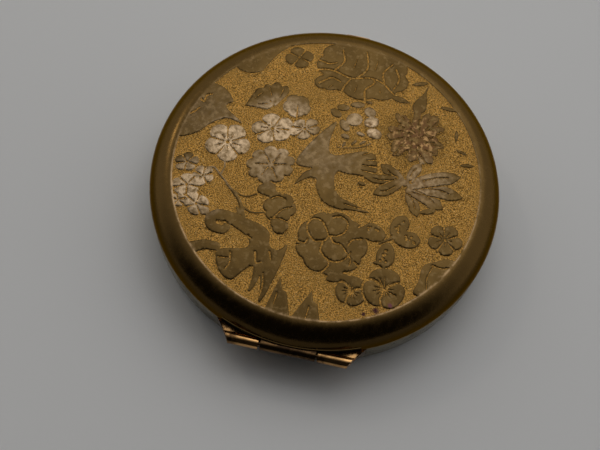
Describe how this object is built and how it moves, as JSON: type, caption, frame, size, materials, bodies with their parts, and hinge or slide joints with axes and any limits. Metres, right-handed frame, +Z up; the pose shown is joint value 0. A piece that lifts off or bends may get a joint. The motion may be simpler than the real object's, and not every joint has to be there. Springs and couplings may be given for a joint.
{
  "type": "powder compact",
  "caption": "Round brass powder compact with a decorated domed lid, barrel hinge, thumb catch, mirror, sprung powder door and puff.",
  "frame": {"origin": "centre of the underside, on the surface that the compact stands on", "axes": "+Z up through the lid, hinge at +Y, thumb catch at -Y, X along the hinge pin"},
  "size_m": [0.07, 0.0728, 0.0135],
  "materials": {
    "etched_brass": "stippled matt ground with polished raised work, darkened by age",
    "base_plate": "worn satin plate, grey-green tarnish",
    "hinge_brass": "polished, warm",
    "frame_brass": "bright gilt, lightly worn",
    "steel": "drawn wire",
    "screen": "fine pierced sheet",
    "powder": "matt pressed powder",
    "card": "grey-brown card",
    "mirror": "silvered bevelled glass",
    "velour": "cotton velour",
    "satin": "satin weave",
    "ribbon": "satin ribbon"
  },
  "bodies": {
    "base": {"base_pan": "base_plate", "base_rim": "frame_brass", "base_hinge_leaf": "hinge_brass", "hinge_pin": "steel", "powder_well": "frame_brass", "powder_cake": "powder", "sifter_frame": "frame_brass", "sifter_screen": "screen", "door_bracket": "frame_brass", "door_pin": "steel", "door_spring": "steel", "door_clip": "steel", "catch_cover": "frame_brass", "catch_spring": "steel", "catch_rivets": "frame_brass"},
    "catch": {"catch_tab": "hinge_brass"},
    "lid": {"lid_shell": "etched_brass", "lid_hinge_leaf": "hinge_brass", "lid_keeper": "frame_brass", "mirror_pad": "card", "mirror": "mirror", "mirror_bezel": "frame_brass"},
    "powder_door": {"inner_door": "frame_brass", "door_leaf": "frame_brass", "door_grip": "frame_brass"},
    "puff": {"puff_face": "velour", "puff_back": "satin", "puff_ribbon": "ribbon"}
  },
  "joints": [
    {"name": "lid_hinge", "type": "hinge", "parent": "base", "child": "lid", "pos_m": [0, 0.0353, 0.0082], "axis": [-1, 0, 0], "range_deg": [0, 115]},
    {"name": "catch_press", "type": "slide", "parent": "base", "child": "catch", "axis": [0, 1, 0], "range_m": [0, 0.0005], "stiffness_N_per_m": 60, "springref_m": -0.003, "deforming": ["catch_spring"]},
    {"name": "door_hinge", "type": "hinge", "parent": "base", "child": "powder_door", "pos_m": [0, 0.0279, 0.00685], "axis": [-1, 0, 0], "range_deg": [0, 70]},
    {"name": "puff_rise", "type": "slide", "parent": "powder_door", "child": "puff", "axis": [0, 0, 1], "range_m": [0, 0.00125]}
  ],
  "couplings": [
    {"joint": "door_hinge", "follows": "lid_hinge", "ratio": 0.6},
    {"joint": "puff_rise", "follows": "lid_hinge", "m_per_rad": 0.0006}
  ]
}
